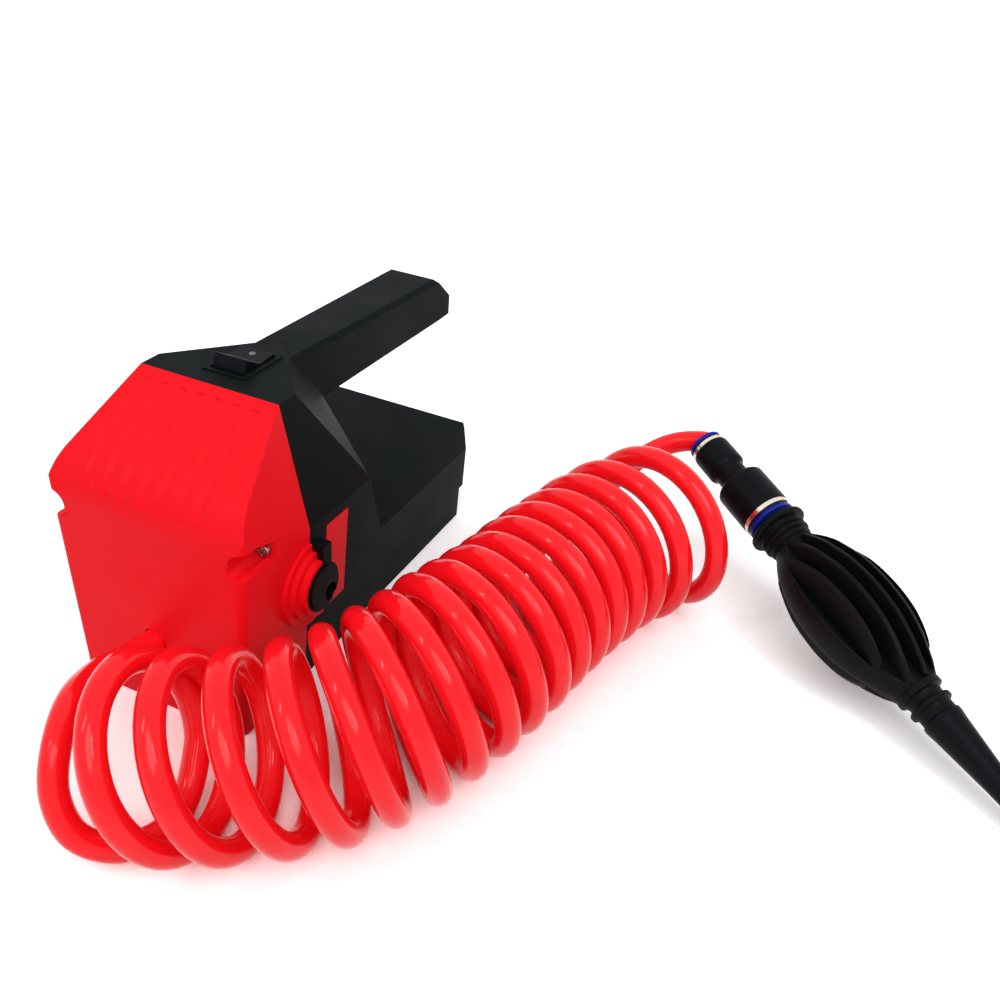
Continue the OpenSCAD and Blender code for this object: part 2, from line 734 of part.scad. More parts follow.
steps = [for (i = [1 : len(hose_route) - 1]) norm(hose_route[i] - hose_route[i - 1])];
hose_length = steps * [for (s = steps) 1];
self_gap = min([for (i = [0 : len(hose_route) - 1], j = [i + 8 : 1 : len(hose_route) - 1])
  norm(hose_route[i] - hose_route[j])]) - 2 * hose_radius;
lowest = min([for (p = hose_route) p[2]]) - hose_radius;
echo(hose_rings = len(hose_route), lowest = lowest, hose_length = hose_length, self_gap = self_gap);

module hose_coil() {
  color(hose_red) swept_tube(hose_route, hose_radius, hose_sides);
}

// The union, stem, bulb and nozzle share one straight line, measured from the hose end.
module on_line() {
  translate(line_start) rotate([0, line_tilt, line_heading]) rotate([0, 90, 0]) children();
}

module turned(pts) {
  on_line() rotate_extrude($fn = 64) polygon(pts);
}

module union_body() {
  color(rubber_black) turned([[7.6, 4.2], [10.3, 4.2], [10.8, 5.2], [10.8, 20.5], [9, 23], [9, 29.5],
    [12.2, 31], [14.1, 33], [14.1, 57], [10.3, 57], [10.3, 43], [8.06, 43], [8.06, 38], [4.2, 38], [4.2, 19],
    [6.2, 19], [6.2, 14.2], [7.6, 14.2]]);
}

module union_rings() {
  color(nickel) union() {
    turned([[7.7, 2.2], [10.4, 2.2], [10.4, 4.2], [7.7, 4.2]]);
    turned([[10.4, 57], [13.9, 57], [13.9, 59.4], [10.4, 59.4]]);
  }
}

module hose_collar() {
  color(collar_blue) turned([[6.7, -1.4], [9.7, -1.4], [9.9, -1.2], [9.9, 0.7], [7.5, 0.7], [7.5, 9.5],
    [6.7, 9.5]]);
}

module grip_collar() {
  color(collar_blue) turned([[8.1, 62.9], [13.2, 62.9], [13.4, 62.7], [13.4, 60.9], [10.2, 60.9], [10.2, 50],
    [8.1, 50]]);
}

module grab_rings() {
  color(steel) union() {
    turned([[6.15, 11.2], [7.58, 11.2], [7.58, 11.8], [6.15, 11.8]]);
    turned([[8.05, 47.4], [10.28, 47.4], [10.28, 48], [8.05, 48]]);
  }
}

module seal_rings() {
  color(rubber_black) union() {
    turned([[6.08, 12.2], [7.58, 12.2], [7.58, 14.2], [6.08, 14.2]]);
    turned([[8.04, 43], [10.28, 43], [10.28, 46], [8.04, 46]]);
  }
}

module stem_pipe() {
  color(foam_grey) turned([[4.2, 38], [8, 38], [8, 73.9], [6, 73.9], [6, 210], [4.2, 210]]);
}

bulb_profile = [[82, 12], [85.5, 14.2], [90, 17], [95, 19.6], [100, 21.4], [105, 23.1], [112, 25],
  [120, 26.1],
  [130, 26.5], [138, 26.1], [146, 25], [153, 23.1], [160, 20.5], [166, 17.5], [171, 14.9], [176, 12]];

// Slots side by side between parallel plates, from both faces of the bulb down to its core.
module bulb_slots() {
  for (i = [0 : 2]) {
    near = i * plate_pitch + plate_thick / 2;
    far = i < 2 ? (i + 1) * plate_pitch - plate_thick / 2 : 40;
    floor_at = [9.6, 7, 3.5][i];
    for (u = [0, 1], v = [0, 1]) on_line() mirror([u, 0, 0]) mirror([0, v, 0])
      translate([floor_at, 0, 0]) rotate([90, 0, 90]) linear_extrude(40) intersection() {
        translate([near, 70]) square([far - near, 120]);
        polygon(concat([[0, 82]], [for (p = bulb_profile) [p[1] - skin, p[0]]], [[0, 176]]));
      }
  }
}

module bulb_grip() {
  color(rubber_black) difference() {
    turned(concat([[8.03, 66], [15.4, 66], [16, 66.8], [16, 69.6], [15.2, 70.4], [11, 71], [10.6, 74],
      [13, 74.8],
      [13.2, 77], [12.4, 78], [10.6, 78.6], [10.6, 80], [12, 80.8]], [for (p = bulb_profile) [p[1], p[0]]],
      [[11.6, 177.2], [11.6, 180], [9.2, 180.8], [8.8, 183.5], [9.2, 185], [11, 185.6], [11, 188],
        [9.2, 188.6],
      [8.8, 193.4], [6.03, 193.4], [6.03, 74], [8.03, 74]]));
    bulb_slots();
  }
}

module nozzle() {
  color(rubber_black) turned([[6.03, 193.4], [9.4, 193.4], [10, 194], [10, 196], [9.5, 199], [6.2, 231],
    [4.2, 260],
    [3.2, 281.6], [2.6, 282.6], [2, 282.6], [2, 262], [4.2, 224], [4.2, 210.2], [6.03, 210.2]]);
}

front_cover();
rear_body();
base_tray();
switch_bezel();
switch_body();
switch_terminals();
rocker();
rocker_mark();
port_bush();
side_label();
cover_screws();
cover_nuts();
feet();
volute_housing();
volute_back();
volute_screws();
motor_can();
motor_magnets();
motor_end_bell();
motor_bushes();
motor_brushes();
motor_screws();
motor_shaft();
motor_armature();
commutator();
impeller();
outlet_nipple();
outlet_seal();
intake_filter();
filter_frame();
battery_cells();
cell_holders();
cell_straps();
control_board();
board_posts();
capacitors();
heat_sink();
power_wires();
hose_coil();
union_body();
union_rings();
hose_collar();
grip_collar();
grab_rings();
seal_rings();
stem_pipe();
bulb_grip();
nozzle();
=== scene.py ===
"""A handled blower with a coiled air hose and a slotted handpiece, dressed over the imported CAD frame.

The object and the camera are written in millimetres and turned into metres where a mesh, a cord or
the camera is made. The depths in materials, the lamps and the floor are in metres.
"""
import json
import math

import bmesh
import bpy
from mathutils import Matrix, Vector


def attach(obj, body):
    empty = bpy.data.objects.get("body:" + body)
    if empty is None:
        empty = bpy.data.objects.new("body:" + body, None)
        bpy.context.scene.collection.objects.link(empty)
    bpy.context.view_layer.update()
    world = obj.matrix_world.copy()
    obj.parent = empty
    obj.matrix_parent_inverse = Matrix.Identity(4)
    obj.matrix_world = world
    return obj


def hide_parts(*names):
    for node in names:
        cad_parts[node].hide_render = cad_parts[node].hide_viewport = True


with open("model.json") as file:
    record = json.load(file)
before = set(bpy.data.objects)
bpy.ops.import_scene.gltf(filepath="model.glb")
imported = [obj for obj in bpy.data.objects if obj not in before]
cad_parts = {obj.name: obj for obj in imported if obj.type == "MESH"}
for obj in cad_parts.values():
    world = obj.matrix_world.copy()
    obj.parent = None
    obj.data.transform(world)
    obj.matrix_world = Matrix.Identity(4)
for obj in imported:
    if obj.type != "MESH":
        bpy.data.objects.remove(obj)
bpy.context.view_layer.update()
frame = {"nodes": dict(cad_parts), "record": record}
nodes = frame["nodes"]
MM = 0.001

# --- camera -----------------------------------------------------------------------------------

CAMERA_PLACE = (279.0, -333.0, 363.1)
CAMERA_HEADING, CAMERA_PITCH, CAMERA_ROLL = 22.4, 32.3, 5.0
FOCAL_PIXELS, FRAME_PIXELS, SENSOR = 1067.8, 1000.0, 36.0
CLIP_NEAR, CLIP_FAR = 0.01, 30


def add_camera():
    """A camera at its place, turned by heading, pitch and roll, in degrees."""
    heading, pitch, roll = (math.radians(a) for a in (CAMERA_HEADING, CAMERA_PITCH, CAMERA_ROLL))
    back = Vector(
        (math.sin(heading) * math.cos(pitch), -math.cos(heading) * math.cos(pitch), math.sin(pitch))
    )
    level = (-back).cross(Vector((0, 0, 1))).normalized()
    upright = level.cross(-back)
    across = math.cos(roll) * level + math.sin(roll) * upright
    upward = -math.sin(roll) * level + math.cos(roll) * upright
    data = bpy.data.cameras.new("camera")
    data.sensor_width = SENSOR
    data.lens = FOCAL_PIXELS / FRAME_PIXELS * SENSOR
    data.clip_start, data.clip_end = CLIP_NEAR, CLIP_FAR
    camera = bpy.data.objects.new("camera", data)
    bpy.context.collection.objects.link(camera)
    place = Matrix((across, upward, back)).transposed().to_4x4()
    place.translation = Vector(CAMERA_PLACE) * MM
    camera.matrix_world = place
    bpy.context.scene.camera = camera


add_camera()

# --- materials --------------------------------------------------------------------------------

SLOW_DETAIL, FINE_DETAIL, FINE_ROUGHNESS = 4.0, 3.0, 0.6
NOISE_LOW, NOISE_HIGH, LEAST_ROUGHNESS = 0.3, 0.7, 0.02


def material(
    name, colour, rough, metal=0.0, grain=1200.0, bump=0.08, tint=0.06, spread=0.06,
    patch=28.0, depth=0.0002, **sockets
):
    """A procedural surface: slow colour drift, fine grain in the bump and patches in the gloss."""
    made = bpy.data.materials.new(name)
    made.use_nodes = True
    tree = made.node_tree
    tree.nodes.clear()
    output = tree.nodes.new("ShaderNodeOutputMaterial")
    shader = tree.nodes.new("ShaderNodeBsdfPrincipled")
    place = tree.nodes.new("ShaderNodeTexCoord")
    slow = tree.nodes.new("ShaderNodeTexNoise")
    slow.inputs["Scale"].default_value = patch
    slow.inputs["Detail"].default_value = SLOW_DETAIL
    fine = tree.nodes.new("ShaderNodeTexNoise")
    fine.inputs["Scale"].default_value = grain
    fine.inputs["Detail"].default_value = FINE_DETAIL
    fine.inputs["Roughness"].default_value = FINE_ROUGHNESS
    mix = tree.nodes.new("ShaderNodeMix")
    mix.data_type = "RGBA"
    mix.inputs["A"].default_value = [c * (1 - tint) for c in colour] + [1]
    mix.inputs["B"].default_value = [min(1.0, c * (1 + tint)) for c in colour] + [1]
    gloss = tree.nodes.new("ShaderNodeMapRange")
    gloss.inputs["From Min"].default_value = NOISE_LOW
    gloss.inputs["From Max"].default_value = NOISE_HIGH
    gloss.inputs["To Min"].default_value = max(LEAST_ROUGHNESS, rough - spread)
    gloss.inputs["To Max"].default_value = rough + spread
    relief = tree.nodes.new("ShaderNodeBump")
    relief.inputs["Strength"].default_value = bump
    relief.inputs["Distance"].default_value = depth
    link = tree.links.new
    for texture in (slow, fine):
        link(place.outputs["Object"], texture.inputs["Vector"])
    link(slow.outputs["Fac"], mix.inputs["Factor"])
    link(mix.outputs["Result"], shader.inputs["Base Color"])
    link(slow.outputs["Fac"], gloss.inputs["Value"])
    link(gloss.outputs["Result"], shader.inputs["Roughness"])
    link(fine.outputs["Fac"], relief.inputs["Height"])
    link(relief.outputs["Normal"], shader.inputs["Normal"])
    link(shader.outputs["BSDF"], output.inputs["Surface"])
    shader.inputs["Metallic"].default_value = metal
    for socket, value in sockets.items():
        shader.inputs[socket.replace("_", " ")].default_value = value
    return made


MATERIALS = {
    "cover_red": material(
        "moulded_red", (0.86, 0.0065, 0.014), 0.42, grain=1700, bump=0.05, tint=0.03,
        Specular_IOR_Level=0.07,
    ),
    "shell_black": material(
        "textured_black", (0.0062, 0.0084, 0.0092), 0.52, grain=1500, bump=0.16, tint=0.12,
        Specular_IOR_Level=0.03,
    ),
    "gloss_black": material(
        "gloss_black", (0.0046, 0.0054, 0.0075), 0.32, grain=900, bump=0.05, tint=0.1,
        Specular_IOR_Level=0.06,
    ),
    "rubber_black": material(
        "rubber_black", (0.0042, 0.0044, 0.005), 0.45, grain=800, bump=0.2, tint=0.15,
        Specular_IOR_Level=0.07,
    ),
    "hose_red": material(
        "polyurethane_red", (0.98, 0.008, 0.0145), 0.18, grain=260, bump=0.03, tint=0.02, spread=0.03,
        Specular_IOR_Level=0.12, Coat_Weight=0.25, Coat_Roughness=0.04, Subsurface_Weight=0.2,
        Subsurface_Radius=(0.006, 0.0008, 0.0008), Subsurface_Scale=1.0,
    ),
    "collar_blue": material(
        "collar_blue", (0.003, 0.013, 0.27), 0.3, grain=900, bump=0.05, tint=0.08,
        Specular_IOR_Level=0.2,
    ),
    "nickel": material("nickel", (0.83, 0.74, 0.58), 0.22, metal=1.0, grain=2600, bump=0.05, tint=0.05),
    "steel": material("zinc_steel", (0.5, 0.5, 0.51), 0.28, metal=1.0, grain=2200, bump=0.08, tint=0.08),
    "brass": material("brass", (0.72, 0.5, 0.2), 0.3, metal=1.0, grain=2200, bump=0.08, tint=0.08),
    "copper": material("copper", (0.62, 0.26, 0.13), 0.35, metal=1.0, grain=3200, bump=0.2, tint=0.12),
    "foam_grey": material("foam", (0.05, 0.05, 0.052), 0.95, grain=700, bump=0.9, tint=0.3, depth=0.001),
    "grey_plastic": material("grey_plastic", (0.09, 0.095, 0.1), 0.5, grain=1500, bump=0.1),
    "pale": material("pale_nylon", (0.62, 0.63, 0.62), 0.45, grain=1500, bump=0.08),
    "mark": material(
        "printed_mark", (0.11, 0.125, 0.13), 0.5, grain=1500, bump=0.05, tint=0.3, patch=900,
    ),
    "board_green": material("solder_mask", (0.012, 0.1, 0.045), 0.35, grain=420, bump=0.25, tint=0.25),
    "cell_blue": material("cell_wrap", (0.03, 0.1, 0.32), 0.3, grain=600, bump=0.05, tint=0.1),
}


def paint(piece, slot):
    """Gives a piece its material on every slot that it has, or on a new one."""
    surface = MATERIALS[slot]
    if piece.data.materials:
        for i in range(len(piece.data.materials)):
            piece.data.materials[i] = surface
    else:
        piece.data.materials.append(surface)


for part in frame["record"]["subparts"]:
    look = "mark" if part["node"] == "rocker_mark" else part["material_slot"]
    paint(nodes[part["node"]], look)

# --- mesh helpers -----------------------------------------------------------------------------

# Points closer than MERGE become one, faces within PLANAR become one, edges above CREASE stay sharp.
MERGE, PLANAR, CREASE = 2e-6, math.radians(0.6), math.radians(75)
LOOP_MERGE, BEVEL_STEPS = 1e-6, 3


def finish_piece(name, mesh, slot, body, replaced, smooth=40):
    """Makes the mesh a piece that stands for the CAD node replaced, creased above smooth degrees."""
    mesh.shade_smooth()
    piece = bpy.data.objects.new(name, mesh)
    bpy.context.collection.objects.link(piece)
    paint(piece, slot)
    mesh.set_sharp_from_angle(angle=math.radians(smooth))
    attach(piece, body)
    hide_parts(replaced)
    return piece


def apply_modifiers(piece):
    """Turns what the piece's modifiers make of its mesh into the mesh itself."""
    evaluated = piece.evaluated_get(bpy.context.evaluated_depsgraph_get())
    mesh = bpy.data.meshes.new_from_object(evaluated)
    piece.modifiers.clear()
    old = piece.data
    piece.data = mesh
    bpy.data.meshes.remove(old)


def rounded(node, slot, body, width, turn=28):
    """A copy of a CAD node with its edges above turn degrees rounded by width, which stands for it."""
    shape = bmesh.new()
    shape.from_mesh(nodes[node].data)
    bmesh.ops.remove_doubles(shape, verts=shape.verts, dist=MERGE)
    bmesh.ops.dissolve_limit(shape, angle_limit=PLANAR, verts=shape.verts, edges=shape.edges)
    bmesh.ops.dissolve_degenerate(shape, dist=MERGE, edges=shape.edges)
    mesh = bpy.data.meshes.new(node + "_rounded")
    shape.to_mesh(mesh)
    shape.free()
    piece = bpy.data.objects.new(node + "_rounded", mesh)
    bpy.context.collection.objects.link(piece)
    mesh.shade_smooth()
    mesh.set_sharp_from_angle(angle=CREASE)
    bevel = piece.modifiers.new("bevel", "BEVEL")
    bevel.width, bevel.segments = width * MM, BEVEL_STEPS
    bevel.limit_method, bevel.angle_limit = "ANGLE", math.radians(turn)
    bevel.use_clamp_overlap = True
    bevel.miter_outer = "MITER_ARC"
    flat = piece.modifiers.new("flat", "WEIGHTED_NORMAL")
    flat.keep_sharp = True
    apply_modifiers(piece)
    piece.data.materials.clear()
    paint(piece, slot)
    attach(piece, body)
    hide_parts(node)


def grid_mesh(name, rings, capped=True):
    """A skin through rings of points in millimetres, with its two ends capped or left open."""
    count = len(rings[0])
    points = [Vector(p) * MM for ring in rings for p in ring]
    faces = [
        (row + k, row + (k + 1) % count, row + count + (k + 1) % count, row + count + k)
        for row in range(0, (len(rings) - 1) * count, count)
        for k in range(count)
    ]
    if capped:
        faces.append(tuple(reversed(range(count))))
        faces.append(tuple((len(rings) - 1) * count + k for k in range(count)))
    mesh = bpy.data.meshes.new(name)
    mesh.from_pydata(points, [], faces)
    shape = bmesh.new()
    shape.from_mesh(mesh)
    bmesh.ops.recalc_face_normals(shape, faces=shape.faces)
    shape.to_mesh(mesh)
    shape.free()
    return mesh


# --- hose -------------------------------------------------------------------------------------

HOSE_RADIUS, HOSE_SIDES = 5.95, 24
LINE_TILT, LINE_HEADING = math.radians(14), math.radians(-35.5)
LINE_START = Vector((180.5, 207.5, 72))
LINE_DIR = Vector((
    math.cos(LINE_HEADING) * math.cos(LINE_TILT),
    math.sin(LINE_HEADING) * math.cos(LINE_TILT),
    -math.sin(LINE_TILT),
))
AXIS_MARKS = [
    (-18, -122), (29, -113), (63, -99), (98, -73), (117.5, -41.5), (128, -7.5), (135, 26), (140, 59),
    (147, 91), (159, 126), (187, 163.5), (217, 196),
]
TURN_RADII = [(0, 35.8), (3, 37), (6, 39.8), (8, 40.3), (11, 38.4), (14, 38.6), (18, 41)]
# The coil's axis has a mark every 2 turns. Its ends are given in 24ths of a turn.
MARKS_EVERY, TURN_RINGS, FINER, JOIN_STEPS = 2, 24, 2, 4
COIL_FIRST, COIL_LAST = 16, 423
# Turns face a heading, in degrees, that swings round as the coil goes, and their tops lean along it.
FIRST_HEADING, HEADING_SWING, SWING_TURNS = 2, 68, 13
FIRST_LEAN, LEAN_RATE, MOST_LEAN = -0.42, 0.034, 0.02
LIFT_RATE, LIFT_FROM, AXIS_CLEARANCE = 3, 16.2, 6.1
FRONT_REACH, JOIN_BACK, JOIN_REACH, PUSHED_IN = 16, 4, 16, 18.9
OUTLET = Vector((-1, -36, 38.4))
LEAD_MARKS = [
    (-3, -64, 39), (-3, -84, 44), (6, -106, 51), (16, -125, 47), (22, -135, 32), (32, -137, 17),
    (45, -128, 8), (53, -111, 6.3), (50, -93, 9),
]
TAIL_MARKS = [
    (133, 182, 38), (139, 193.5, 49.5), (150, 203, 60.5), (162.5, 209, 68),
    LINE_START - JOIN_BACK * LINE_DIR,
]


def catmull(a, b, c, d, f):
    """A point at f of the way from b to c, on the smooth curve through a, b, c and d."""
    square, cube = 2 * a - 5 * b + 4 * c - d, 3 * b - a - 3 * c + d
    return 0.5 * (2 * b + (c - a) * f + square * f**2 + cube * f**3)


def spline(points, steps):
    """Points on the smooth curve from the second mark to the last but one."""
    points = [Vector(p) for p in points]
    return [
        catmull(*points[i - 1 : i + 3], k / steps)
        for i in range(1, len(points) - 2)
        for k in range(steps)
    ]


def turn_radius(u):
    """Radius of the coil after u turns."""
    for (a, low), (b, high) in zip(TURN_RADII, TURN_RADII[1:]):
        if u <= b:
            return low + (high - low) * (u - a) / (b - a)
    return TURN_RADII[-1][1]


def coil_point(u):
    """The middle of the hose after u turns of the coil."""
    i = min(int(u // MARKS_EVERY), len(AXIS_MARKS) - 4)
    x, y = catmull(*(Vector(p) for p in AXIS_MARKS[i : i + 4]), u / MARKS_EVERY - i)
    heading = FIRST_HEADING + HEADING_SWING * math.sin(math.radians(90 * u / SWING_TURNS))
    heading = math.radians(heading)
    radius, lean = turn_radius(u), min(MOST_LEAN, FIRST_LEAN + LEAN_RATE * u)
    lift = LIFT_RATE * max(0, u - LIFT_FROM) ** 2
    s, k = radius * math.sin(math.tau * u), radius * math.cos(math.tau * u)
    return Vector((
        x + s * math.sin(heading) + k * lean * math.cos(heading),
        y - s * math.cos(heading) + k * lean * math.sin(heading),
        radius + AXIS_CLEARANCE + k + lift,
    ))


def hose_route():
    """The middle line of the hose, from the housing's outlet to its end inside the union."""
    first, second = coil_point(COIL_FIRST / TURN_RINGS), coil_point((COIL_FIRST + 1) / TURN_RINGS)
    before, last = coil_point((COIL_LAST - 1) / TURN_RINGS), coil_point(COIL_LAST / TURN_RINGS)
    front, joined = OUTLET - Vector((0, FRONT_REACH, 0)), LINE_START + JOIN_REACH * LINE_DIR
    steps = JOIN_STEPS * FINER
    lead = [OUTLET] + spline([OUTLET, front, *LEAD_MARKS, first, second], steps)
    coil = [
        coil_point(i / (TURN_RINGS * FINER)) for i in range(COIL_FIRST * FINER, COIL_LAST * FINER)
    ]
    tail = spline([before, last, *TAIL_MARKS, LINE_START, joined], steps)
    return lead + coil + tail + [LINE_START, LINE_START + PUSHED_IN * LINE_DIR]


def swept_rings(route, radius, sides):
    """Rings of points square to the route, which don't twist from one to the next."""
    rings, side = [], Vector((1, 0, 0))
    for i, point in enumerate(route):
        ahead = (route[min(i + 1, len(route) - 1)] - route[max(i - 1, 0)]).normalized()
        side = (side - side.dot(ahead) * ahead).normalized()
        other = ahead.cross(side)
        turns = [math.tau * k / sides for k in range(sides)]
        rings.append([point + radius * (math.cos(a) * side + math.sin(a) * other) for a in turns])
    return rings


route = hose_route()
hose = finish_piece(
    "hose", grid_mesh("hose", swept_rings(route, HOSE_RADIUS, HOSE_SIDES)), "hose_red", "housing",
    "hose_coil",
)

# --- handpiece line ---------------------------------------------------------------------------

LINE_FILLET, LINE_SIDES, CORNER_SHARE = 0.5, 96, 0.45
SIDEWAYS = Vector((-math.sin(LINE_HEADING), math.cos(LINE_HEADING), 0))
UPWARD = LINE_DIR.cross(SIDEWAYS)


def line_point(along, radius, angle):
    """A point at a radius and an angle about the handpiece line."""
    return (
        LINE_START
        + along * LINE_DIR
        + radius * (math.cos(angle) * SIDEWAYS + math.sin(angle) * UPWARD)
    )


def filleted(profile, radius):
    """The profile with each corner turned into a short arc, as long as given or as the corner says."""
    out = []
    for i, (a, r, *own) in enumerate(profile):
        here = Vector((a, r))
        if i in (0, len(profile) - 1):
            out.append(here)
            continue
        before = Vector(profile[i - 1][:2]) - here
        after = Vector(profile[i + 1][:2]) - here
        longest = CORNER_SHARE * min(before.length, after.length)
        reach = min(own[0] if own else radius, longest)
        start, end = here + before.normalized() * reach, here + after.normalized() * reach
        for f in (0, 0.25, 0.5, 0.75, 1):
            out.append(start * (1 - f) ** 2 + here * 2 * f * (1 - f) + end * f**2)
    return out


def turned(name, profile, slot, body, replaced):
    """A piece turned about the handpiece line from a closed loop of (along, radius) points."""
    turns = [math.tau * k / LINE_SIDES for k in range(LINE_SIDES)]
    rings = [[line_point(p.x, p.y, a) for a in turns] for p in filleted(profile, LINE_FILLET)]
    mesh = grid_mesh(name, rings + [rings[0]], capped=False)
    shape = bmesh.new()
    shape.from_mesh(mesh)
    bmesh.ops.remove_doubles(shape, verts=shape.verts, dist=LOOP_MERGE)
    bmesh.ops.recalc_face_normals(shape, faces=shape.faces)
    shape.to_mesh(mesh)
    shape.free()
    finish_piece(name, mesh, slot, body, replaced)


turned(
    "union_shell",
    [(14.2, 7.6), (4.2, 7.6), (4.2, 10.3), (5.2, 10.8, 0.6), (20.5, 10.8, 1.2), (22.6, 8.6, 0.8),
     (30.2, 8.6, 0.8), (31.4, 12.4, 0.5), (33.2, 14.1, 0.8), (57, 14.1, 0.3), (57, 10.3), (43, 10.3),
     (43, 8.06), (38, 8.06), (38, 4.2), (19, 4.2), (19, 6.2), (14.2, 6.2), (14.2, 7.6)],
    "gloss_black", "housing", "union_body",
)
turned(
    "hose_release",
    [(9.5, 6.7), (-1.4, 6.7), (-1.4, 9.7, 0.5), (-1.2, 9.9, 0.5), (0.7, 9.9, 0.4), (0.7, 7.5), (9.5, 7.5),
     (9.5, 6.7)],
    "collar_blue", "hose_release", "hose_collar",
)
turned(
    "grip_release",
    [(50, 8.1), (62.9, 8.1), (62.9, 13.2, 0.5), (62.7, 13.4, 0.5), (60.9, 13.4, 0.4), (60.9, 10.2),
     (50, 10.2), (50, 8.1)],
    "collar_blue", "grip_release", "grip_collar",
)

# Bulb: parallel plates stand on a stepped core, inside two curved side bands, with lens-shaped slots.
PLATE_PITCH, PLATE_HALF, SKIN, BULB_SIDES = 8.7, 1.2, 1.4, 144
BULB_FIRST, BULB_SPAN, BULB_WIDEST = 82.3, 93.4, 26.5
CORE_FIRST, CORE_SPAN, CORE_INSET, NECK_FILLET = 82, 94, 0.15, 0.3
PLATE_STEPS, BAND_STEPS, CORE_STEPS, ARC_STEPS = 140, 120, 96, 8
BAND_HALF, CREST_ROUND, LEAST_RISE = 7.2, 0.6, 0.25
INNER_FLOOR, MIDDLE_FLOOR, OUTER_FLOOR, TINY = 9.6, 7, 3.5, 1e-6
# Steps across the thickness of a plate, closer together at its two rounded edges.
CREST_STEPS = (0, 0.04, 0.14, 0.32, 0.6, 1.2, 1.8, 2.08, 2.26, 2.36, 2.4)
BULB_LINE = [
    (82, 12), (85.5, 14.2), (90, 17), (95, 19.6), (100, 21.4), (105, 23.1), (112, 25), (120, 26.1),
    (130, 26.5), (138, 26.1), (146, 25), (153, 23.1), (160, 20.5), (166, 17.5), (171, 14.9), (176, 12),
]
NECK_FRONT = [
    (66, 8.03), (66, 15.4, 0.5), (66.7, 16, 0.5), (68.4, 16, 0.4), (69, 15.2, 0.4), (69.3, 12),
    (70.8, 11.6), (71.3, 13.2, 0.3), (72.6, 13.2, 0.3), (73, 11.4), (74.3, 11.2), (74.8, 13.3, 0.3),
    (76.2, 13.2, 0.3), (76.7, 11.2), (77.8, 11), (78.3, 12.2, 0.3), (79.4, 12.1, 0.3), (79.9, 10.9),
    (80.6, 11.2),
]
NECK_BACK = [
    (176.6, 11.4), (177.2, 11.8, 0.5), (180.2, 11.8, 0.5), (181, 9.6), (183.4, 9), (185, 9.2),
    (185.6, 11, 0.6), (188, 11, 0.6), (188.6, 9.4), (190, 9), (193.3, 9.1), (193.3, 6.03),
]


def height_on(line, at):
    """Smooth height of a line of marks at a place along it."""
    for i in range(len(line) - 1):
        (a, low), (b, high) = line[i], line[i + 1]
        if a <= at <= b:
            before, after = line[max(i - 1, 0)][1], line[min(i + 2, len(line) - 1)][1]
            return catmull(before, low, high, after, (at - a) / (b - a))
    return line[-1][1]


def core_height(along, angle):
    """Radius of the stepped core: the slots' floors, or the bulb's outline where that is lower."""
    outline = height_on(BULB_LINE, along)
    side, up = max(abs(math.cos(angle)), TINY), max(abs(math.sin(angle)), TINY)
    floors = (
        (PLATE_PITCH, INNER_FLOOR), (2 * PLATE_PITCH, MIDDLE_FLOOR), (outline - SKIN / 2, OUTER_FLOOR),
    )
    reach = max(min(half_side / side, half_up / up) for half_side, half_up in floors)
    return min(outline - CORE_INSET, reach)


def across(along, side, up):
    """A point at an offset from the handpiece line."""
    return LINE_START + along * LINE_DIR + side * SIDEWAYS + up * UPWARD


def plate_rings(middle):
    """Cross-sections of one plate, with a rounded crest that follows the outline of the bulb."""
    rings = []
    edge = abs(middle) + PLATE_HALF
    for i in range(PLATE_STEPS + 1):
        along = BULB_FIRST + BULB_SPAN * i / PLATE_STEPS
        outline = height_on(BULB_LINE, along)
        if outline < edge + LEAST_RISE:
            continue
        crest = []
        for e in CREST_STEPS:
            side = middle - PLATE_HALF + e
            bend = max(CREST_ROUND - min(e, 2 * PLATE_HALF - e), 0)
            drop = CREST_ROUND - math.sqrt(CREST_ROUND**2 - bend**2)
            crest.append((side, math.sqrt(outline**2 - side**2) - drop))
        rings.append(
            [across(along, s, u) for s, u in crest]
            + [across(along, s, -u) for s, u in reversed(crest)]
        )
    return rings


def band_rings(sign):
    """Cross-sections of the curved band that closes the outer slots on one side of the bulb."""
    rings = []
    for i in range(BAND_STEPS + 1):
        along = BULB_FIRST + BULB_SPAN * i / BAND_STEPS
        outline = height_on(BULB_LINE, along)
        top = BAND_HALF * outline / BULB_WIDEST
        middle, half = outline - SKIN / 2, SKIN / 2
        turn = math.asin(top / outline)
        sweep = [2 * turn * k / ARC_STEPS - turn for k in range(ARC_STEPS + 1)]
        outer = [(outline, a) for a in sweep]
        inner = [(outline - SKIN, -a) for a in sweep]
        rim = [
            (middle + half * math.cos(f), turn + half * math.sin(f) / outline)
            for f in (math.radians(45), math.radians(90), math.radians(135))
        ]
        ring = outer + rim + inner + [(r, -a) for r, a in reversed(rim)]
        rings.append([across(along, sign * r * math.cos(a), r * math.sin(a)) for r, a in ring])
    return rings


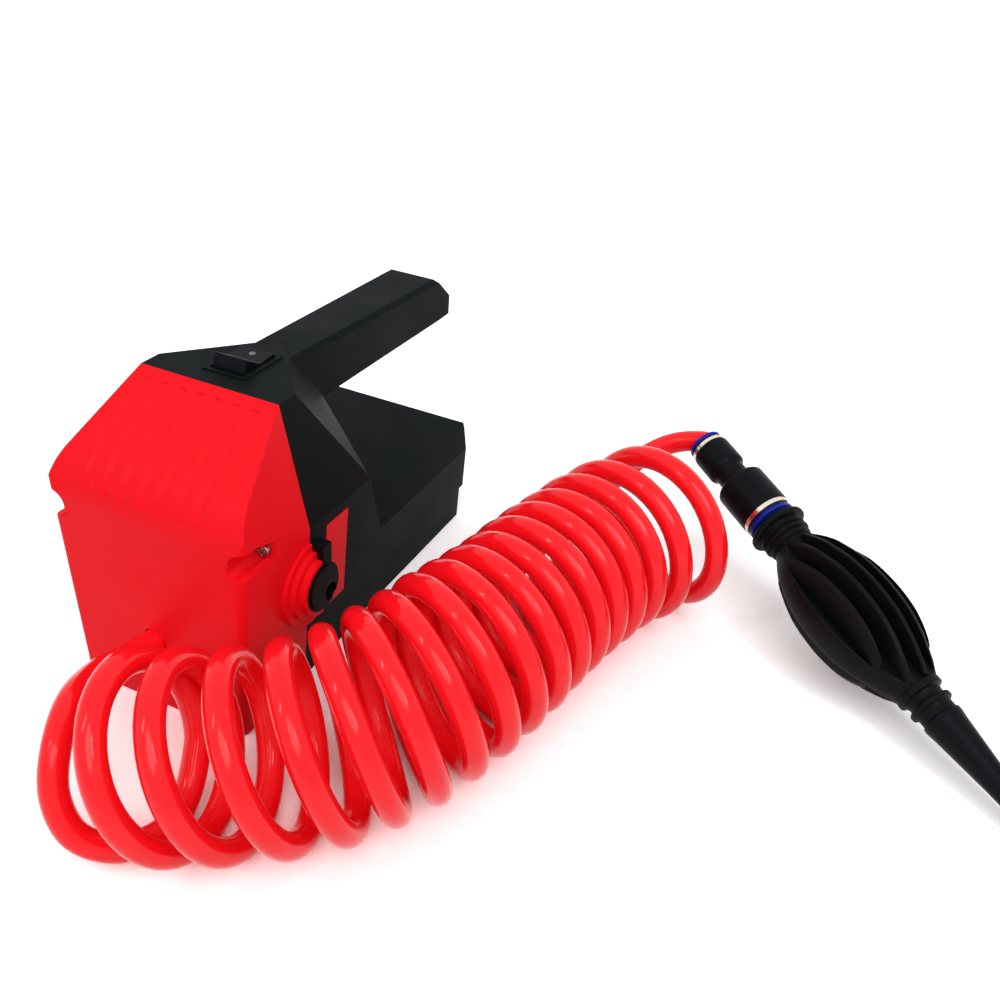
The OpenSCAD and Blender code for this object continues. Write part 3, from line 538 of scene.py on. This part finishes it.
def bulb_mesh():
    """The core with its two necks, the five plates and the two side bands, as one mesh."""
    turns = [math.tau * k / BULB_SIDES for k in range(BULB_SIDES)]
    rings = [[line_point(p.x, p.y, a) for a in turns] for p in filleted(NECK_FRONT, NECK_FILLET)]
    for i in range(CORE_STEPS + 1):
        along = CORE_FIRST + CORE_SPAN * i / CORE_STEPS
        rings.append([line_point(along, core_height(along, a), a) for a in turns])
    rings += [[line_point(p.x, p.y, a) for a in turns] for p in filleted(NECK_BACK, NECK_FILLET)]
    shape = bmesh.new()
    plates = [plate_rings(PLATE_PITCH * k) for k in (-2, -1, 0, 1, 2)]
    for skin in [rings] + plates + [band_rings(-1), band_rings(1)]:
        part = grid_mesh("bulb_part", skin)
        shape.from_mesh(part)
        bpy.data.meshes.remove(part)
    mesh = bpy.data.meshes.new("bulb")
    shape.to_mesh(mesh)
    shape.free()
    return mesh


finish_piece("bulb", bulb_mesh(), "rubber_black", "housing", "bulb_grip", smooth=50)
turned(
    "nozzle_cone",
    [(193.4, 6.03), (193.4, 9.3), (194, 10, 0.4), (196, 10, 0.5), (199, 9.5, 1), (231, 6.2, 3),
     (260, 4.2, 3), (281.6, 3.2, 0.6), (282.6, 2.6, 0.5), (282.6, 2), (262, 2), (224, 4.2),
     (210.2, 4.2), (210.2, 6.03), (193.4, 6.03)],
    "gloss_black", "housing", "nozzle",
)

# --- housing ----------------------------------------------------------------------------------

rounded("front_cover", "cover_red", "housing", 0.9)
rounded("rear_body", "shell_black", "housing", 0.9, turn=14)
rounded("base_tray", "shell_black", "housing", 0.7)
rounded("switch_bezel", "shell_black", "housing", 0.35)
rounded("rocker", "gloss_black", "rocker", 0.5)
rounded("port_bush", "rubber_black", "housing", 0.5)
rounded("side_label", "cover_red", "housing", 0.15)
rounded("cover_screws", "steel", "housing", 0.25)

# --- stage ------------------------------------------------------------------------------------


def seen_by_eye_or_mirror(tree):
    """A value of 1 for the rays that show the background: camera, glossy and transmission rays."""
    rays = tree.nodes.new("ShaderNodeLightPath")
    total = None
    for name in ("Is Camera Ray", "Is Glossy Ray", "Is Transmission Ray"):
        if total is None:
            total = rays.outputs[name]
            continue
        plus = tree.nodes.new("ShaderNodeMath")
        plus.operation = "MAXIMUM"
        tree.links.new(total, plus.inputs[0])
        tree.links.new(rays.outputs[name], plus.inputs[1])
        total = plus.outputs[0]
    return total


def flat_white(name, seen, lit):
    """A floor that lights the object as a light grey, and is seen as a brighter white."""
    made = bpy.data.materials.new(name)
    made.use_nodes = True
    tree = made.node_tree
    tree.nodes.clear()
    output = tree.nodes.new("ShaderNodeOutputMaterial")
    shader = tree.nodes.new("ShaderNodeBsdfDiffuse")
    mix = tree.nodes.new("ShaderNodeMix")
    mix.data_type = "RGBA"
    mix.inputs["A"].default_value = (lit, lit, lit, 1)
    mix.inputs["B"].default_value = (seen, seen, seen, 1)
    tree.links.new(seen_by_eye_or_mirror(tree), mix.inputs["Factor"])
    tree.links.new(mix.outputs["Result"], shader.inputs["Color"])
    tree.links.new(shader.outputs["BSDF"], output.inputs["Surface"])
    return made


HALF_FLOOR, FLOOR_SEEN, FLOOR_LIT, FLOOR_DROP = 6.0, 1.4, 0.6, 0.0002
floor_mesh = bpy.data.meshes.new("floor")
floor_mesh.from_pydata(
    [(x * HALF_FLOOR, y * HALF_FLOOR, 0) for x, y in ((-1, -1), (1, -1), (1, 1), (-1, 1))],
    [], [(0, 1, 2, 3)],
)
floor = bpy.data.objects.new("floor", floor_mesh)
bpy.context.collection.objects.link(floor)
floor.data.materials.append(flat_white("floor_white", FLOOR_SEEN, FLOOR_LIT))
floor.location.z = -FLOOR_DROP


def area_light(name, place, aim, power, width, height):
    """A rectangular lamp at a place, turned towards its aim."""
    data = bpy.data.lights.new(name, "AREA")
    data.energy, data.shape = power, "RECTANGLE"
    data.size, data.size_y = width, height
    lamp = bpy.data.objects.new(name, data)
    bpy.context.collection.objects.link(lamp)
    lamp.location = place
    lamp.rotation_euler = (Vector(aim) - Vector(place)).to_track_quat("-Z", "Y").to_euler()


area_light("strip", (-0.45, -0.75, 1.1), (0.1, 0, 0.05), power=1.6, width=0.12, height=0.5)
area_light("window", (1.0, -0.5, 1.2), (0.12, 0, 0.05), power=2.2, width=0.16, height=0.45)

SUN_POWER, SUN_SOFTNESS, SUN_WAY = 1.12, math.radians(40), Vector((-0.4, 0.72, -1))
sun = bpy.data.lights.new("overhead", "SUN")
sun.energy, sun.angle = SUN_POWER, SUN_SOFTNESS
overhead = bpy.data.objects.new("overhead", sun)
bpy.context.collection.objects.link(overhead)
overhead.rotation_euler = SUN_WAY.to_track_quat("-Z", "Y").to_euler()

SKY_LIT, SKY_SEEN = 0.66, 1.0
world = bpy.data.worlds.new("studio")
bpy.context.scene.world = world
world.use_nodes = True
tree = world.node_tree
tree.nodes.clear()
world_out = tree.nodes.new("ShaderNodeOutputWorld")
either = tree.nodes.new("ShaderNodeMixShader")
tree.links.new(seen_by_eye_or_mirror(tree), either.inputs["Fac"])
for socket, strength in ((1, SKY_LIT), (2, SKY_SEEN)):
    sky = tree.nodes.new("ShaderNodeBackground")
    sky.inputs["Color"].default_value = (1, 1, 1, 1)
    sky.inputs["Strength"].default_value = strength
    tree.links.new(sky.outputs["Background"], either.inputs[socket])
tree.links.new(either.outputs["Shader"], world_out.inputs["Surface"])

bpy.context.scene.view_settings.view_transform = "Standard"
